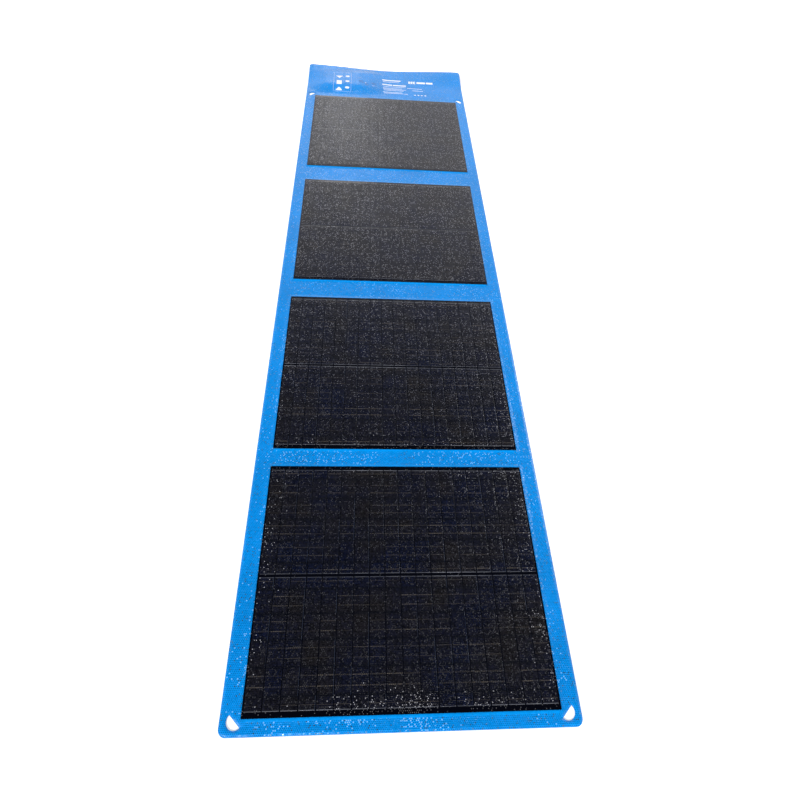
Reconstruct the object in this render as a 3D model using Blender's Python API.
"""Folding solar blanket: four flexible panels on a coated fabric carrier, with a header flap.

The blanket lies flat with the cells up.  +Y runs towards the header, +Z is up, and the
origin is the centre of the footprint on the ground.  Each panel section is one rigid body;
the carrier and the back cover are cut on every fold line, where the fabric bends.
"""
import math

import bmesh
import bpy

MM = 0.001
GAP = 0.3 * MM                    # clearance between neighbouring pieces

# Cells: strips cut across square cells, in two rows on each panel.
STRIP_WIDTH = 19.6 * MM
STRIP_LENGTH = 156.75 * MM
STRIP_GAP = 1.6 * MM
STRIPS_PER_ROW = 18
ROW_GAP = 3.9 * MM
BRIDGE_WIDTH = 3.0 * MM           # ribbon that joins the strips of one row

# Plan of the blanket.
PANEL_COUNT = 4
PANEL_WIDTH = 385.0 * MM
PANEL_HEIGHT = 330.0 * MM
SIDE_BORDER = 25.0 * MM
NEAR_BORDER = 18.5 * MM
FOLD_GAPS = (58.0 * MM, 49.6 * MM, 31.6 * MM)     # panel 1 to 2, 2 to 3, 3 to 4
HINGE_BORDER = 33.0 * MM          # panel 1 to the header's fold line
HEADER_DEPTH = 135.0 * MM
CORNER_RADIUS = 9.5 * MM
ARC_STEPS = 6                     # segments in a quarter circle

# Punched D-shaped hanging holes, given by the middle of the flat side.
HOLE_RADIUS = 9.5 * MM
HOLE_X = 200.0 * MM
NEAR_HOLE_OFFSET = -2.2 * MM      # from panel 4's near edge
FAR_HOLE_OFFSET = 9.8 * MM        # from panel 1's far edge

# Thickness of each layer, from the ground up.
COVER_THICKNESS = 0.5 * MM
LEAD_THICKNESS = 0.4 * MM
CARRIER_THICKNESS = 0.6 * MM
BOARD_THICKNESS = 0.6 * MM
CELL_THICKNESS = 0.2 * MM
FILM_THICKNESS = 0.3 * MM

# Flat copper leads and the posts that reach up to the cells.
LEAD_WIDTH = 5.0 * MM
POSITIVE_LEAD_X = -187.0 * MM
NEGATIVE_LEAD_X = -173.0 * MM
POST_LENGTH = 4.0 * MM

# Power box under the header.
BOX_CENTRE_X = -120.0 * MM
BOX_CENTRE_FROM_FOLD = 61.0 * MM
BOX_SIZE_X = 90.0 * MM
BOX_SIZE_Y = 56.0 * MM
BOX_CORNER = 4.0 * MM
BASE_HEIGHT = 7.0 * MM
BOX_WALL = 1.6 * MM
BOX_FLOOR = 1.0 * MM
SEAL_THICKNESS = 0.3 * MM
LID_THICKNESS = 1.0 * MM
JOIN_OVERLAP = 0.1 * MM           # how far joined shapes and cutters reach into each other
ROUND_STEPS = 12                  # segments in a screw, a boss or a bore

SCREW_INSET = 5.0 * MM
SCREW_RADIUS = 1.0 * MM
SCREW_TIP = 0.8                   # radius of the screw's end, as a share of the thread's
SCREW_HEAD_RADIUS = 2.0 * MM
SCREW_HEAD_DEPTH = 0.6 * MM
SCREW_RECESS = 0.1 * MM
SCREW_LENGTH = 6.0 * MM
BOSS_RADIUS = 2.8 * MM
RIB_WIDTH = 2.0 * MM
RIB_INSET = 8.0 * MM              # ribs under the circuit board, from its edges
SEAL_INSET = 0.3 * MM

BOARD_RISE = 0.7 * MM             # circuit board above the box's floor
BOARD_DEPTH = 0.8 * MM
BOARD_CORNER = 1.5 * MM
BOARD_SIDE_INSET = 9.5 * MM       # clears the screw bosses
BOARD_NEAR_INSET = 4.0 * MM
BOARD_FAR_INSET = 3.5 * MM

# Components, as (width, depth, height), and where they stand in the box.
DIODE_SIZE = (6.0 * MM, 4.4 * MM, 2.2 * MM)
DIODE_PITCH = 12.0 * MM
DIODE_START_X = -2.0 * MM         # first diode, from the box's centre
DIODE_ROW = 12.0 * MM             # from the board's near edge
COIL_SIZE = (9.0 * MM, 9.0 * MM, 3.6 * MM)
COIL_CORNER = 1.5 * MM
CHIP_SIZE = (6.0 * MM, 6.0 * MM, 1.2 * MM)
COMPONENT_CORNER = 0.4 * MM
CONVERTER_Y = 4.0 * MM            # coil and chip, from the box's centre
SOCKET_OFFSET = 17.0 * MM
POWER_SOCKET_SIZE = (16.0 * MM, 11.5 * MM, 3.4 * MM)
POWER_MOUTHS = ((-4.0 * MM, 5.0 * MM), (4.0 * MM, 5.0 * MM))    # offset and width of each
USB_SOCKET_SIZE = (9.0 * MM, 8.0 * MM, 3.2 * MM)
USB_MOUTHS = ((0.0, 7.6 * MM),)
SOCKET_WALL = 0.6 * MM
MOUTH_DEPTH = 0.7                 # as a share of the socket's depth
LEAD_ENTRY_OFFSETS = (-28.0 * MM, -16.0 * MM)
LEAD_ON_BOARD = 8.0 * MM          # how far a lead reaches into the box
LEAD_RAMP = 4.0 * MM              # run of the lead up into the box

COVER_HALF_WIDTH = 28.0 * MM
COVER_WALL = 1.5 * MM
COVER_LIFT = 0.6 * MM             # lower edge of the port cover above the ground
PORT_BAY_DEPTH = 18.0 * MM        # room in front of the sockets for a plug

# Header fabric over the box.
HEADER_CLEAR = 2.0 * MM           # flat stretch beside the box, before the slope
HEADER_CLEAR_FAR = 6.0 * MM       # the same beyond the port cover
SLOPE_SIDE = 45.0 * MM            # run of the fabric down to the ground beside the box
SLOPE_END = 24.0 * MM             # the same towards the fold and the far edge
SIDE_STEPS = 6                    # facets on a slope beside the box
END_STEPS = 5                     # the same at its ends
FLAT_STEPS = 3                    # from the centre line to the edge

# Heights of the layers.
COVER_TOP = COVER_THICKNESS
LEAD_BOTTOM = COVER_TOP + GAP
LEAD_TOP = LEAD_BOTTOM + LEAD_THICKNESS
CARRIER_BOTTOM = LEAD_TOP + GAP
CARRIER_TOP = CARRIER_BOTTOM + CARRIER_THICKNESS
BOARD_BOTTOM = CARRIER_TOP + GAP
BOARD_TOP = BOARD_BOTTOM + BOARD_THICKNESS
CELL_BOTTOM = BOARD_TOP + GAP
CELL_TOP = CELL_BOTTOM + CELL_THICKNESS
FILM_BOTTOM = CELL_TOP + GAP
FILM_TOP = FILM_BOTTOM + FILM_THICKNESS

# Plan positions.
HALF_WIDTH = PANEL_WIDTH / 2 + SIDE_BORDER
PANEL_RUN = PANEL_COUNT * PANEL_HEIGHT + sum(FOLD_GAPS)
HALF_LENGTH = (HEADER_DEPTH + HINGE_BORDER + PANEL_RUN + NEAR_BORDER) / 2
HEADER_FOLD_Y = HALF_LENGTH - HEADER_DEPTH
ROW_WIDTH = STRIPS_PER_ROW * STRIP_WIDTH + (STRIPS_PER_ROW - 1) * STRIP_GAP

BOX_CENTRE_Y = HEADER_FOLD_Y + BOX_CENTRE_FROM_FOLD
BOX_X = (BOX_CENTRE_X - BOX_SIZE_X / 2, BOX_CENTRE_X + BOX_SIZE_X / 2)
BOX_Y = (BOX_CENTRE_Y - BOX_SIZE_Y / 2, BOX_CENTRE_Y + BOX_SIZE_Y / 2)
SEAL_BOTTOM = BASE_HEIGHT + GAP
LID_BOTTOM = SEAL_BOTTOM + SEAL_THICKNESS + GAP
LID_TOP = LID_BOTTOM + LID_THICKNESS
HEADER_LIFT = LID_TOP + GAP - CARRIER_BOTTOM

BOARD_Z = (BOX_FLOOR + BOARD_RISE, BOX_FLOOR + BOARD_RISE + BOARD_DEPTH)
PART_BOTTOM = BOARD_Z[1] + GAP    # underside of what is soldered on the board
BOARD_X = (BOX_X[0] + BOARD_SIDE_INSET, BOX_X[1] - BOARD_SIDE_INSET)
BOARD_Y = (BOX_Y[0] + BOARD_NEAR_INSET, BOX_Y[1] - BOARD_FAR_INSET)
SOCKET_FRONT = BOX_Y[1] - GAP
POWER_SOCKET_X = BOX_CENTRE_X - SOCKET_OFFSET
USB_SOCKET_X = BOX_CENTRE_X + SOCKET_OFFSET
LEAD_ENTRIES = [BOX_CENTRE_X + offset for offset in LEAD_ENTRY_OFFSETS]


# ---------------------------------------------------------------- materials

def material(name, color, roughness, metallic=0.0):
    finish = bpy.data.materials.new(name)
    finish.use_nodes = True
    shader = finish.node_tree.nodes["Principled BSDF"]
    shader.inputs["Base Color"].default_value = (*color, 1.0)
    shader.inputs["Roughness"].default_value = roughness
    shader.inputs["Metallic"].default_value = metallic
    return finish


# ---------------------------------------------------------------- shape tools

def clear_scene():
    for item in list(bpy.data.objects):
        bpy.data.objects.remove(item)


def make_object(name, bm, finish):
    bmesh.ops.recalc_face_normals(bm, faces=bm.faces[:])
    mesh = bpy.data.meshes.new(name)
    bm.to_mesh(mesh)
    bm.free()
    item = bpy.data.objects.new(name, mesh)
    bpy.context.collection.objects.link(item)
    if finish is not None:
        mesh.materials.append(finish)
    return item


def arc(centre, radius, start, end, steps):
    """Points along an arc, angles in degrees."""
    points = []
    for step in range(steps + 1):
        angle = math.radians(start + (end - start) * step / steps)
        points.append((centre[0] + radius * math.cos(angle), centre[1] + radius * math.sin(angle)))
    return points


def rounded_rectangle(x_low, x_high, y_low, y_high, radii):
    """Outline, anticlockwise from the low X, low Y corner; one radius per corner."""
    corners = ((x_low, y_low, 180), (x_high, y_low, 270), (x_high, y_high, 0), (x_low, y_high, 90))
    points = []
    for (x, y, start), radius in zip(corners, radii):
        if radius == 0:
            points.append((x, y))
            continue
        centre_x = x + radius if x == x_low else x - radius
        centre_y = y + radius if y == y_low else y - radius
        points += arc((centre_x, centre_y), radius, start, start + 90, ARC_STEPS)
    return points


def d_hole(side, end, centre_y):
    """Half disc whose round side faces the blanket's corner on that side and end."""
    outward = math.degrees(math.atan2(end, side))
    return arc((side * HOLE_X, centre_y), HOLE_RADIUS, outward - 90, outward + 90, 2 * ARC_STEPS)


def plate(name, outline, holes, z_low, z_high, finish):
    """Flat sheet of constant thickness with holes through it."""
    bm = bmesh.new()
    for loop in [outline] + holes:
        corners = [bm.verts.new((x, y, z_low)) for x, y in loop]
        for first, second in zip(corners, corners[1:] + corners[:1]):
            bm.edges.new((first, second))
    bmesh.ops.triangle_fill(bm, use_beauty=True, edges=bm.edges[:], normal=(0, 0, 1))
    raised = bmesh.ops.extrude_face_region(bm, geom=bm.faces[:])
    top = [part for part in raised["geom"] if isinstance(part, bmesh.types.BMVert)]
    bmesh.ops.translate(bm, verts=top, vec=(0, 0, z_high - z_low))
    return make_object(name, bm, finish)


def block(name, x_low, x_high, y_low, y_high, z_low, z_high, finish):
    outline = [(x_low, y_low), (x_high, y_low), (x_high, y_high), (x_low, y_high)]
    return plate(name, outline, [], z_low, z_high, finish)


def rounded_block(name, x_low, x_high, y_low, y_high, z_low, z_high, radius, finish):
    outline = rounded_rectangle(x_low, x_high, y_low, y_high, [radius] * 4)
    return plate(name, outline, [], z_low, z_high, finish)


def profile_along_x(name, outline, x_low, x_high, finish):
    """Outline of (y, z) points, swept along X."""
    bm = bmesh.new()
    face = bm.faces.new([bm.verts.new((x_low, y, z)) for y, z in outline])
    swept = bmesh.ops.extrude_face_region(bm, geom=[face])
    end = [part for part in swept["geom"] if isinstance(part, bmesh.types.BMVert)]
    bmesh.ops.translate(bm, verts=end, vec=(x_high - x_low, 0, 0))
    return make_object(name, bm, finish)


def grid_sheet(name, columns, rows, filled, bottom, top, finish):
    """Sheet on a grid of lines.

    Only the squares for which filled(column, row) is true are solid; bottom(x, y) and
    top(x, y) give the corners in space.
    """
    bm = bmesh.new()
    low = [[None] * len(rows) for _ in columns]
    high = [[None] * len(rows) for _ in columns]

    def corner(level, place, i, j):
        if level[i][j] is None:
            level[i][j] = bm.verts.new(place(columns[i], rows[j]))
        return level[i][j]

    def solid(i, j):
        return 0 <= i < len(columns) - 1 and 0 <= j < len(rows) - 1 and filled(i, j)

    for i in range(len(columns) - 1):
        for j in range(len(rows) - 1):
            if not solid(i, j):
                continue
            around = ((i, j), (i + 1, j), (i + 1, j + 1), (i, j + 1))
            bm.faces.new([corner(high, top, *spot) for spot in around])
            bm.faces.new([corner(low, bottom, *spot) for spot in reversed(around)])
            beyond = ((i, j - 1), (i + 1, j), (i, j + 1), (i - 1, j))
            for side, neighbour in enumerate(beyond):
                if solid(*neighbour):
                    continue
                first, second = around[side], around[(side + 1) % 4]
                bm.faces.new((corner(low, bottom, *first), corner(low, bottom, *second),
                              corner(high, top, *second), corner(high, top, *first)))
    return make_object(name, bm, finish)


def ribbon(name, path, width, thickness, finish):
    """Flat strip laid along a path of (x, y, z) points on its underside."""
    bm = bmesh.new()
    sections = []
    for index, (x, y, z) in enumerate(path):
        before = path[max(index - 1, 0)]
        after = path[min(index + 1, len(path) - 1)]
        run = math.hypot(after[0] - before[0], after[1] - before[1])
        side_x = (after[1] - before[1]) / run * width / 2
        side_y = -(after[0] - before[0]) / run * width / 2
        sections.append([bm.verts.new(point) for point in (
            (x - side_x, y - side_y, z), (x + side_x, y + side_y, z),
            (x + side_x, y + side_y, z + thickness), (x - side_x, y - side_y, z + thickness))])
    for near, far in zip(sections, sections[1:]):
        for side in range(4):
            after = (side + 1) % 4
            bm.faces.new((near[side], near[after], far[after], far[side]))
    bm.faces.new(sections[0])
    bm.faces.new(sections[-1])
    return make_object(name, bm, finish)


def cone(name, centre, low_radius, high_radius, z_low, z_high, finish):
    """Round piece standing on Z; equal radii make a cylinder."""
    bm = bmesh.new()
    bmesh.ops.create_cone(bm, cap_ends=True, segments=ROUND_STEPS, radius1=low_radius,
                          radius2=high_radius, depth=z_high - z_low)
    bmesh.ops.translate(bm, verts=bm.verts[:], vec=(centre[0], centre[1], (z_low + z_high) / 2))
    return make_object(name, bm, finish)


def combine(item, tool, operation):
    """Boolean with another object, which is then only a guide."""
    change = item.modifiers.new(tool.name, "BOOLEAN")
    change.operation = operation
    change.solver = "EXACT"
    change.object = tool
    tool.hide_render = True
    tool.display_type = "WIRE"


def smoothstep(value):
    value = min(max(value, 0.0), 1.0)
    return value * value * (3 - 2 * value)


def spread(start, end, steps):
    """Evenly spaced values, both ends included."""
    return [start + (end - start) * step / steps for step in range(steps + 1)]


# ---------------------------------------------------------------- blanket plan

def panel_edges(number):
    """Near and far Y of one panel, counted from the header."""
    far = HEADER_FOLD_Y - HINGE_BORDER
    for index in range(number - 1):
        far -= PANEL_HEIGHT + FOLD_GAPS[index]
    return far - PANEL_HEIGHT, far


def section_edges(number):
    """Near and far Y of one panel's stretch of carrier, a fold line or an outer edge."""
    near, far = panel_edges(number)
    if number == PANEL_COUNT:
        near_end = near - NEAR_BORDER
    else:
        near_end = near - FOLD_GAPS[number - 1] / 2 + GAP / 2
    if number == 1:
        far_end = HEADER_FOLD_Y - GAP / 2
    else:
        far_end = far + FOLD_GAPS[number - 2] / 2 - GAP / 2
    return near_end, far_end


def section_holes(number):
    near, far = panel_edges(number)
    holes = []
    if number == 1:
        holes += [d_hole(side, 1, far + FAR_HOLE_OFFSET) for side in (-1, 1)]
    if number == PANEL_COUNT:
        holes += [d_hole(side, -1, near + NEAR_HOLE_OFFSET) for side in (-1, 1)]
    return holes


def section_outline(number):
    near_end, far_end = section_edges(number)
    radius = CORNER_RADIUS if number == PANEL_COUNT else 0
    return rounded_rectangle(-HALF_WIDTH, HALF_WIDTH, near_end, far_end, (radius, radius, 0, 0))


def row_centres(number):
    """Y of the middle of the upper and the lower row of strips."""
    near, far = panel_edges(number)
    middle = (near + far) / 2
    offset = (STRIP_LENGTH + ROW_GAP) / 2
    return middle + offset, middle - offset


# ---------------------------------------------------------------- panel pieces

def cell_row(name, centre_y, finish):
    """Strips side by side, joined by one ribbon across their middle."""
    columns = []
    for index in range(STRIPS_PER_ROW):
        start = -ROW_WIDTH / 2 + index * (STRIP_WIDTH + STRIP_GAP)
        columns += [start, start + STRIP_WIDTH]
    rows = [centre_y - STRIP_LENGTH / 2, centre_y - BRIDGE_WIDTH / 2,
            centre_y + BRIDGE_WIDTH / 2, centre_y + STRIP_LENGTH / 2]

    def filled(column, row):
        return column % 2 == 0 or row == 1

    grid_sheet(name, columns, rows, filled,
               lambda x, y: (x, y, CELL_BOTTOM), lambda x, y: (x, y, CELL_TOP), finish)


def lead(name, number, x, post_y, finish):
    """Flat lead from fold to fold, with a solder post up to the end strip."""
    near_end, far_end = section_edges(number)
    if number == PANEL_COUNT:
        near_end = post_y - 3 * POST_LENGTH
    outline = [(near_end, LEAD_BOTTOM), (far_end, LEAD_BOTTOM), (far_end, LEAD_TOP),
               (post_y + POST_LENGTH / 2, LEAD_TOP), (post_y + POST_LENGTH / 2, BOARD_TOP),
               (post_y - POST_LENGTH / 2, BOARD_TOP), (post_y - POST_LENGTH / 2, LEAD_TOP),
               (near_end, LEAD_TOP)]
    profile_along_x(name, outline, x - LEAD_WIDTH / 2, x + LEAD_WIDTH / 2, finish)


def post_hole(x, post_y):
    half_x = LEAD_WIDTH / 2 + GAP
    half_y = POST_LENGTH / 2 + GAP
    return [(x - half_x, post_y - half_y), (x + half_x, post_y - half_y),
            (x + half_x, post_y + half_y), (x - half_x, post_y + half_y)]


def panel(number, finishes):
    near, far = panel_edges(number)
    upper_y, lower_y = row_centres(number)
    name = f"panel_{number}"
    outline = section_outline(number)
    punched = section_holes(number)
    post_holes = [post_hole(POSITIVE_LEAD_X, upper_y), post_hole(NEGATIVE_LEAD_X, lower_y)]
    half = PANEL_WIDTH / 2
    window = [(-half, near), (half, near), (half, far), (-half, far)]

    plate(f"{name}_back_cover", outline, punched, 0, COVER_TOP, finishes["backing"])
    lead(f"{name}_positive_lead", number, POSITIVE_LEAD_X, upper_y, finishes["copper"])
    lead(f"{name}_negative_lead", number, NEGATIVE_LEAD_X, lower_y, finishes["copper"])
    plate(f"{name}_carrier", outline, punched + post_holes, CARRIER_BOTTOM, CARRIER_TOP,
          finishes["carrier"])
    plate(f"{name}_board", window, post_holes, BOARD_BOTTOM, BOARD_TOP, finishes["board"])
    cell_row(f"{name}_upper_cells", upper_y, finishes["cell"])
    cell_row(f"{name}_lower_cells", lower_y, finishes["cell"])
    block(f"{name}_link_ribbon", ROW_WIDTH / 2 + GAP, half - GAP, lower_y, upper_y,
          CELL_BOTTOM, CELL_TOP, finishes["copper"])
    plate(f"{name}_front_film", window, [], FILM_BOTTOM, FILM_TOP, finishes["film"])


# ---------------------------------------------------------------- header

def header_rise(x, y):
    """How far the header's fabric is lifted where it passes over the power box."""
    beside = max(BOX_X[0] - HEADER_CLEAR - x, x - BOX_X[1] - HEADER_CLEAR, 0.0)
    before = max(BOX_Y[0] - HEADER_CLEAR - y, 0.0)
    behind = max(y - BOX_Y[1] - HEADER_CLEAR_FAR, 0.0)
    across = smoothstep(1 - beside / SLOPE_SIDE)
    along = smoothstep(1 - max(before, behind) / SLOPE_END)
    return HEADER_LIFT * across * along


def header_sheet(finish):
    flat_left = BOX_X[0] - HEADER_CLEAR
    flat_right = BOX_X[1] + HEADER_CLEAR
    left = spread(flat_left - SLOPE_SIDE, flat_left, SIDE_STEPS)
    right = spread(flat_right, flat_right + SLOPE_SIDE, SIDE_STEPS)
    columns = [-HALF_WIDTH] + left + [BOX_CENTRE_X] + right + spread(0, HALF_WIDTH, FLAT_STEPS)
    flat_near = BOX_Y[0] - HEADER_CLEAR
    flat_far = BOX_Y[1] + HEADER_CLEAR_FAR
    before = spread(flat_near - SLOPE_END, flat_near, END_STEPS)
    behind = spread(flat_far, flat_far + SLOPE_END, END_STEPS)
    start = HEADER_FOLD_Y + GAP / 2
    corner = [HALF_LENGTH - CORNER_RADIUS + y for x, y in arc((0, 0), CORNER_RADIUS, 0, 90, ARC_STEPS)]
    rows = [start] + before + [BOX_CENTRE_Y] + behind + corner

    def place(x, y, height):
        past = max(y - (HALF_LENGTH - CORNER_RADIUS), 0.0)
        edge = HALF_WIDTH - CORNER_RADIUS + math.sqrt(max(CORNER_RADIUS ** 2 - past ** 2, 0.0))
        return x * edge / HALF_WIDTH, y, height + header_rise(x, y)

    grid_sheet("header_sheet", columns, rows, lambda column, row: True,
               lambda x, y: place(x, y, CARRIER_BOTTOM), lambda x, y: place(x, y, CARRIER_TOP), finish)


def header_back_cover(finish):
    outline = rounded_rectangle(-HALF_WIDTH, HALF_WIDTH, HEADER_FOLD_Y + GAP / 2, HALF_LENGTH,
                                (0, 0, CORNER_RADIUS, CORNER_RADIUS))
    window = rounded_rectangle(BOX_X[0] - HEADER_CLEAR, BOX_X[1] + HEADER_CLEAR, BOX_Y[0] - HEADER_CLEAR,
                               BOX_Y[1] + PORT_BAY_DEPTH, [0] * 4)
    plate("header_back_cover", outline, [window], 0, COVER_TOP, finish)


def header_lead(name, x, box_x, finish):
    """From the fold line across to the box, up through its wall and onto the board."""
    start = HEADER_FOLD_Y + GAP / 2
    foot = BOX_Y[0] - LEAD_RAMP - LEAD_THICKNESS
    path = [(x, start, LEAD_BOTTOM), (x, start + LEAD_WIDTH, LEAD_BOTTOM),
            (box_x, foot - LEAD_WIDTH / 2, LEAD_BOTTOM), (box_x, foot, LEAD_BOTTOM),
            (box_x, foot + LEAD_RAMP, PART_BOTTOM), (box_x, BOX_Y[0] + LEAD_ON_BOARD, PART_BOTTOM)]
    ribbon(name, path, LEAD_WIDTH, LEAD_THICKNESS, finish)


# ---------------------------------------------------------------- power box

def screw_spots():
    return [(x, y) for x in (BOX_X[0] + SCREW_INSET, BOX_X[1] - SCREW_INSET)
            for y in (BOX_Y[0] + SCREW_INSET, BOX_Y[1] - SCREW_INSET)]


def box_base(finish):
    base = rounded_block("power_box_base", *BOX_X, *BOX_Y, 0, BASE_HEIGHT, BOX_CORNER, finish)
    inner = BOX_CORNER - BOX_WALL
    cavity = rounded_block("cut_cavity", BOX_X[0] + BOX_WALL, BOX_X[1] - BOX_WALL,
                           BOX_Y[0] + BOX_WALL, BOX_Y[1] - BOX_WALL,
                           BOX_FLOOR, BASE_HEIGHT + BOX_WALL, inner, None)
    combine(base, cavity, "DIFFERENCE")
    for index, y in enumerate((BOARD_Y[0] + RIB_INSET, BOARD_Y[1] - RIB_INSET)):
        rib = block(f"rib_{index}", BOARD_X[0], BOARD_X[1], y - RIB_WIDTH / 2, y + RIB_WIDTH / 2,
                    BOX_FLOOR - JOIN_OVERLAP, BOARD_Z[0] - GAP, None)
        combine(base, rib, "UNION")
    for index, x in enumerate(LEAD_ENTRIES):
        slot = block(f"cut_lead_{index}", x - LEAD_WIDTH / 2 - GAP, x + LEAD_WIDTH / 2 + GAP,
                     BOX_Y[0] - BOX_WALL, BOX_Y[0] + 2 * BOX_WALL,
                     PART_BOTTOM - 2 * GAP, PART_BOTTOM + LEAD_THICKNESS + 2 * GAP, None)
        combine(base, slot, "DIFFERENCE")
    for x, size in ((POWER_SOCKET_X, POWER_SOCKET_SIZE), (USB_SOCKET_X, USB_SOCKET_SIZE)):
        port = block(f"cut_port_{size[0]:.3f}", x - size[0] / 2 - GAP, x + size[0] / 2 + GAP,
                     BOX_Y[1] - 2 * BOX_WALL, BOX_Y[1] + BOX_WALL,
                     PART_BOTTOM - GAP, PART_BOTTOM + size[2] + GAP, None)
        combine(base, port, "DIFFERENCE")
    for index, spot in enumerate(screw_spots()):
        bore = cone(f"cut_screw_{index}", spot, SCREW_RADIUS + GAP, SCREW_RADIUS + GAP,
                    -JOIN_OVERLAP, BOX_FLOOR + BOX_WALL, None)
        combine(base, bore, "DIFFERENCE")


def box_lid(finish):
    lid = rounded_block("power_box_lid", *BOX_X, *BOX_Y, LID_BOTTOM, LID_TOP, BOX_CORNER, finish)
    for index, spot in enumerate(screw_spots()):
        boss = cone(f"boss_{index}", spot, BOSS_RADIUS, BOSS_RADIUS,
                    BOX_FLOOR + GAP, LID_BOTTOM + JOIN_OVERLAP, None)
        combine(lid, boss, "UNION")
        bore = cone(f"cut_thread_{index}", spot, SCREW_RADIUS + GAP, SCREW_RADIUS + GAP,
                    0, SCREW_LENGTH + GAP, None)
        combine(lid, bore, "DIFFERENCE")


def box_seal(finish):
    outer, inner = [
        rounded_rectangle(BOX_X[0] + inset, BOX_X[1] - inset, BOX_Y[0] + inset, BOX_Y[1] - inset,
                          [BOX_CORNER - inset] * 4)
        for inset in (SEAL_INSET, BOX_WALL - SEAL_INSET)]
    plate("box_seal", outer, [inner], SEAL_BOTTOM, SEAL_BOTTOM + SEAL_THICKNESS, finish)


def box_screw(index, spot, finish):
    """Countersunk screw entering from the ground side."""
    bm = bmesh.new()
    rings = ((SCREW_RECESS, SCREW_HEAD_RADIUS), (SCREW_HEAD_DEPTH, SCREW_RADIUS),
             (SCREW_LENGTH, SCREW_RADIUS * SCREW_TIP))
    levels = []
    for z, radius in rings:
        circle = arc(spot, radius, 0, 360, ROUND_STEPS)[:-1]
        levels.append([bm.verts.new((*point, z)) for point in circle])
    for low, high in zip(levels, levels[1:]):
        for step in range(ROUND_STEPS):
            after = (step + 1) % ROUND_STEPS
            bm.faces.new((low[step], low[after], high[after], high[step]))
    bm.faces.new(levels[0])
    bm.faces.new(levels[-1])
    screw = make_object(f"box_screw_{index + 1}", bm, finish)
    screw.data.shade_smooth()
    screw.data.set_sharp_from_angle(angle=math.radians(30))


def countersinks():
    """Seats for the screw heads in the base's underside."""
    base = bpy.data.objects["power_box_base"]
    for index, spot in enumerate(screw_spots()):
        seat = cone(f"cut_seat_{index}", spot, SCREW_HEAD_RADIUS + 2 * GAP, SCREW_RADIUS + GAP,
                    -JOIN_OVERLAP, BOX_FLOOR - JOIN_OVERLAP, None)
        combine(base, seat, "DIFFERENCE")


def socket(name, x, size, mouths, finish):
    """Shell with its mouths open towards +Y."""
    width, depth, height = size
    shell = rounded_block(name, x - width / 2, x + width / 2, SOCKET_FRONT - depth, SOCKET_FRONT,
                          PART_BOTTOM, PART_BOTTOM + height, COMPONENT_CORNER, finish)
    for index, (offset, mouth_width) in enumerate(mouths):
        mouth = block(f"cut_{name}_{index}", x + offset - mouth_width / 2, x + offset + mouth_width / 2,
                      SOCKET_FRONT - depth * MOUTH_DEPTH, SOCKET_FRONT + SOCKET_WALL,
                      PART_BOTTOM + SOCKET_WALL, PART_BOTTOM + height - SOCKET_WALL, None)
        combine(shell, mouth, "DIFFERENCE")


def component(name, x, y, size, radius, finish):
    """Moulded part that stands on the circuit board."""
    width, depth, height = size
    rounded_block(name, x - width / 2, x + width / 2, y - depth / 2, y + depth / 2,
                  PART_BOTTOM, PART_BOTTOM + height, radius, finish)


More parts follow.
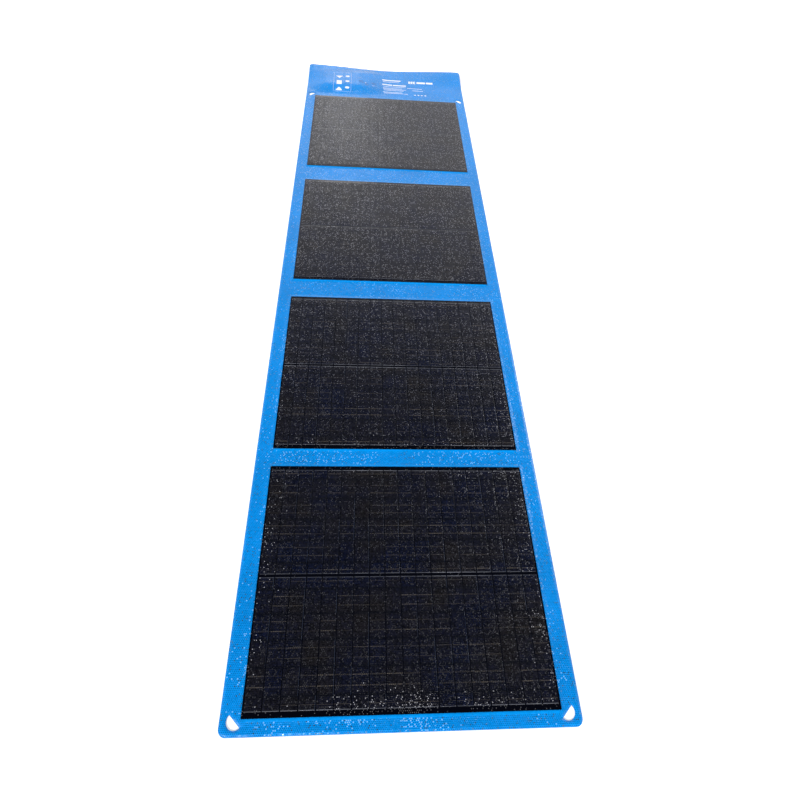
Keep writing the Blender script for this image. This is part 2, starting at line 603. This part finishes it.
def electronics(finishes):
    rounded_block("circuit_board", *BOARD_X, *BOARD_Y, *BOARD_Z, BOARD_CORNER, finishes["circuit"])
    for index in range(PANEL_COUNT):
        component(f"blocking_diode_{index + 1}", BOX_CENTRE_X + DIODE_START_X + index * DIODE_PITCH,
                  BOARD_Y[0] + DIODE_ROW, DIODE_SIZE, COMPONENT_CORNER, finishes["component"])
    converter_y = BOX_CENTRE_Y + CONVERTER_Y
    component("converter_coil", BOX_CENTRE_X, converter_y, COIL_SIZE, COIL_CORNER, finishes["component"])
    component("converter_chip", USB_SOCKET_X, converter_y, CHIP_SIZE, COMPONENT_CORNER,
              finishes["component"])
    socket("power_socket", POWER_SOCKET_X, POWER_SOCKET_SIZE, POWER_MOUTHS, finishes["component"])
    socket("usb_c_socket", USB_SOCKET_X, USB_SOCKET_SIZE, USB_MOUTHS, finishes["steel"])


def port_cover(finish):
    """Rubber flap over both sockets, hinged along its lower edge."""
    radius = COVER_WALL / 2
    axis_y = BOX_Y[1] + GAP + radius
    axis_z = COVER_LIFT + radius
    top = BASE_HEIGHT - GAP - axis_z
    outline = arc((0, 0), radius, 180, 360, ARC_STEPS) + [(radius, top), (-radius, top)]
    cover = profile_along_x("port_cover", outline, -COVER_HALF_WIDTH, COVER_HALF_WIDTH, finish)
    hinge = bpy.data.objects.new("port_cover_hinge", None)
    bpy.context.collection.objects.link(hinge)
    hinge.location = (BOX_CENTRE_X, axis_y, axis_z)
    cover.parent = hinge


# ---------------------------------------------------------------- assembly

def main():
    clear_scene()
    finishes = {
        "carrier": material("carrier", (0.0, 0.17, 0.62), 0.35),
        "backing": material("backing", (0.02, 0.02, 0.022), 0.7),
        "board": material("board", (0.01, 0.01, 0.012), 0.5),
        "cell": material("cell", (0.008, 0.01, 0.025), 0.3),
        "film": material("film", (0.012, 0.014, 0.028), 0.25),
        "copper": material("copper", (0.72, 0.43, 0.26), 0.35, 1.0),
        "case": material("case", (0.02, 0.02, 0.022), 0.5),
        "rubber": material("rubber", (0.015, 0.015, 0.016), 0.8),
        "circuit": material("circuit", (0.01, 0.12, 0.04), 0.45),
        "component": material("component", (0.03, 0.03, 0.03), 0.4),
        "steel": material("steel", (0.55, 0.55, 0.57), 0.3, 1.0),
    }
    for number in range(1, PANEL_COUNT + 1):
        panel(number, finishes)
    header_sheet(finishes["carrier"])
    header_back_cover(finishes["backing"])
    header_lead("header_positive_lead", POSITIVE_LEAD_X, LEAD_ENTRIES[0], finishes["copper"])
    header_lead("header_negative_lead", NEGATIVE_LEAD_X, LEAD_ENTRIES[1], finishes["copper"])
    box_base(finishes["case"])
    countersinks()
    box_lid(finishes["case"])
    box_seal(finishes["rubber"])
    for index, spot in enumerate(screw_spots()):
        box_screw(index, spot, finishes["steel"])
    electronics(finishes)
    port_cover(finishes["rubber"])


main()
